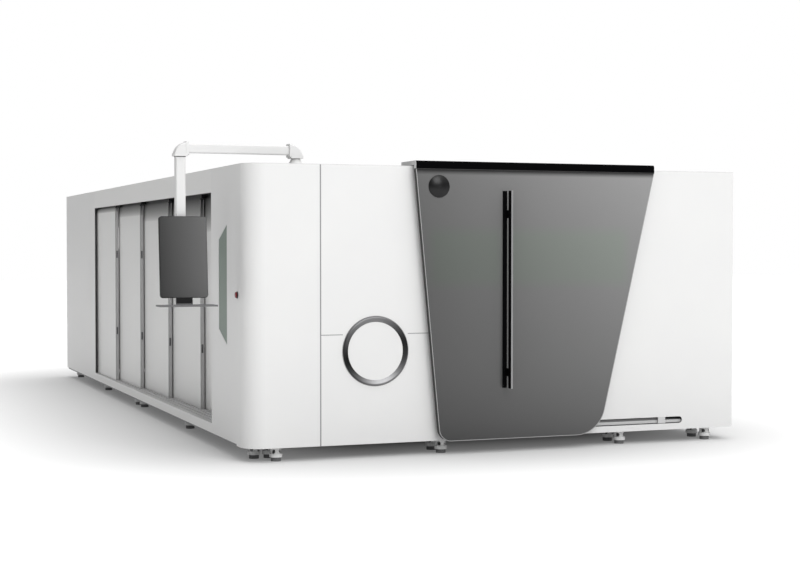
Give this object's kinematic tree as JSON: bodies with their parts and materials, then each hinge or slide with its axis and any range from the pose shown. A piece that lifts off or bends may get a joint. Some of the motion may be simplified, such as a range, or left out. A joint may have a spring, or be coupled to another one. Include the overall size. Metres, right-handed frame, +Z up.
{
  "type": "sheet and tube laser cutting machine",
  "caption": "Enclosed laser cutting machine for sheet and tube, with a sail-shaped sliding front door, telescoping side leaves, a tube port and a swinging control pendant.",
  "frame": {"origin": "on the floor, below the middle of the machine's overall box", "axes": "+X to the right seen from the front, +Y to the rear, +Z up"},
  "size_m": [4.755, 8.556, 2.375],
  "materials": {
    "white_paint": "satin",
    "grey_paint": "satin",
    "bare_steel": "brushed",
    "light_metal": "satin",
    "dark_paint": "satin",
    "dark_plastic": "matte",
    "tinted_face": "gloss",
    "screen_black": "gloss",
    "green_glass": "gloss",
    "estop_red": "gloss"
  },
  "bodies": {
    "root": {"base_frame": "grey_paint", "bed_beams": "grey_paint", "gantry_rails": "bare_steel", "scrap_tray": "bare_steel", "tube_bed": "grey_paint", "front_chuck_housing": "grey_paint", "enclosure_frame": "grey_paint", "front_corner_panel": "white_paint", "front_upper_panel": "white_paint", "front_lower_panel": "white_paint", "doorway_lintel": "white_paint", "doorway_sill": "white_paint", "front_right_panel": "white_paint", "left_near_panel": "white_paint", "left_far_panel": "white_paint", "side_header": "white_paint", "side_sill": "grey_paint", "right_panels": "white_paint", "rear_panel": "white_paint", "roof_panels": "white_paint", "side_window": "green_glass", "tube_port_ring": "bare_steel", "tube_port_cover": "white_paint", "door_top_rail": "bare_steel", "door_lower_rail": "bare_steel", "laser_source": "white_paint", "electrical_cabinet": "white_paint", "exhaust_spigot": "bare_steel", "foot_sleeves": "white_paint", "levelling_feet": "grey_paint", "pendant_base": "white_paint", "estop_collar": "dark_plastic"},
    "front_door": {"door_shell": "light_metal", "door_face": "tinted_face", "door_hood": "dark_paint", "door_handle": "dark_paint", "handle_strips": "light_metal", "door_disc": "dark_paint", "door_guide_shoe": "dark_plastic", "door_hangers": "bare_steel"},
    "pendant_arm": {"pendant_arm": "white_paint"},
    "pendant_drop_tube": {"pendant_drop_tube": "white_paint"},
    "control_panel": {"control_panel": "dark_plastic", "control_screen": "screen_black", "keyboard_tray": "dark_plastic"},
    "estop_button": {"estop_button": "estop_red"},
    "gantry": {"gantry_beam": "grey_paint", "gantry_trucks": "bare_steel"},
    "head_carriage": {"head_carriage": "bare_steel"},
    "cutting_head": {"cutting_head": "dark_paint"},
    "pallet_upper": {"pallet_upper": "bare_steel"},
    "pallet_lower": {"pallet_lower": "bare_steel"},
    "rear_chuck_carriage": {"rear_chuck_carriage": "grey_paint"},
    "rear_chuck_rotor": {"rear_chuck_rotor": "bare_steel"},
    "front_chuck_rotor": {"front_chuck_rotor": "bare_steel"},
    "side_leaf_1": {"side_leaf_1": "white_paint"},
    "side_leaf_2": {"side_leaf_2": "white_paint"},
    "side_leaf_3": {"side_leaf_3": "white_paint"},
    "side_leaf_4": {"side_leaf_4": "white_paint"},
    "side_leaf_5": {"side_leaf_5": "white_paint"}
  },
  "joints": [
    {"name": "front_door_slide", "type": "slide", "parent": "root", "child": "front_door", "axis": [1, 0, 0], "range_m": [0, 0.7]},
    {"name": "side_leaf_1_slide", "type": "slide", "parent": "root", "child": "side_leaf_1", "axis": [0, 1, 0], "range_m": [-4.2152, 0]},
    {"name": "side_leaf_2_slide", "type": "slide", "parent": "root", "child": "side_leaf_2", "axis": [0, 1, 0], "range_m": [-3.1614, 1.0538]},
    {"name": "side_leaf_3_slide", "type": "slide", "parent": "root", "child": "side_leaf_3", "axis": [0, 1, 0], "range_m": [-2.1076, 2.1076]},
    {"name": "side_leaf_4_slide", "type": "slide", "parent": "root", "child": "side_leaf_4", "axis": [0, 1, 0], "range_m": [-1.0538, 3.1614]},
    {"name": "side_leaf_5_slide", "type": "slide", "parent": "root", "child": "side_leaf_5", "axis": [0, 1, 0], "range_m": [0, 4.2152]},
    {"name": "pendant_arm_swing", "type": "hinge", "parent": "root", "child": "pendant_arm", "pos_m": [-1.2665, -3.682, 2.264], "axis": [0, 0, 1], "range_deg": [-10, 95]},
    {"name": "pendant_swivel", "type": "hinge", "parent": "pendant_arm", "child": "pendant_drop_tube", "pos_m": [-2.1655, -3.682, 2.264], "axis": [0, 0, 1], "range_deg": [-60, 60]},
    {"name": "panel_tilt", "type": "hinge", "parent": "pendant_drop_tube", "child": "control_panel", "pos_m": [-2.1655, -3.736, 1.7], "axis": [1, 0, 0], "range_deg": [-8, 10]},
    {"name": "estop_press", "type": "slide", "parent": "root", "child": "estop_button", "axis": [1, 0, 0], "range_m": [0, 0.004], "stiffness_N_per_m": 2500},
    {"name": "gantry_travel", "type": "slide", "parent": "root", "child": "gantry", "axis": [0, 1, 0], "range_m": [0, 3]},
    {"name": "head_cross_travel", "type": "slide", "parent": "gantry", "child": "head_carriage", "axis": [1, 0, 0], "range_m": [-0.886, 1.6]},
    {"name": "head_lift", "type": "slide", "parent": "head_carriage", "child": "cutting_head", "axis": [0, 0, 1], "range_m": [-0.255, 0]},
    {"name": "pallet_exchange", "type": "slide", "parent": "root", "child": "pallet_upper", "axis": [0, 1, 0], "range_m": [0, 3.4]},
    {"name": "pallet_return", "type": "slide", "parent": "root", "child": "pallet_lower", "axis": [0, 1, 0], "range_m": [-3.4, 0]},
    {"name": "rear_chuck_feed", "type": "slide", "parent": "root", "child": "rear_chuck_carriage", "axis": [0, 1, 0], "range_m": [-5, 0]},
    {"name": "rear_chuck_turn", "type": "hinge", "parent": "rear_chuck_carriage", "child": "rear_chuck_rotor", "pos_m": [-0.7685, 3.048, 0.805], "axis": [0, 1, 0], "continuous": true},
    {"name": "front_chuck_turn", "type": "hinge", "parent": "root", "child": "front_chuck_rotor", "pos_m": [-0.7685, -2.802, 0.805], "axis": [0, 1, 0], "continuous": true}
  ],
  "couplings": [
    {"joint": "pallet_return", "follows": "pallet_exchange", "ratio": -1},
    {"joint": "front_chuck_turn", "follows": "rear_chuck_turn", "ratio": 1}
  ]
}
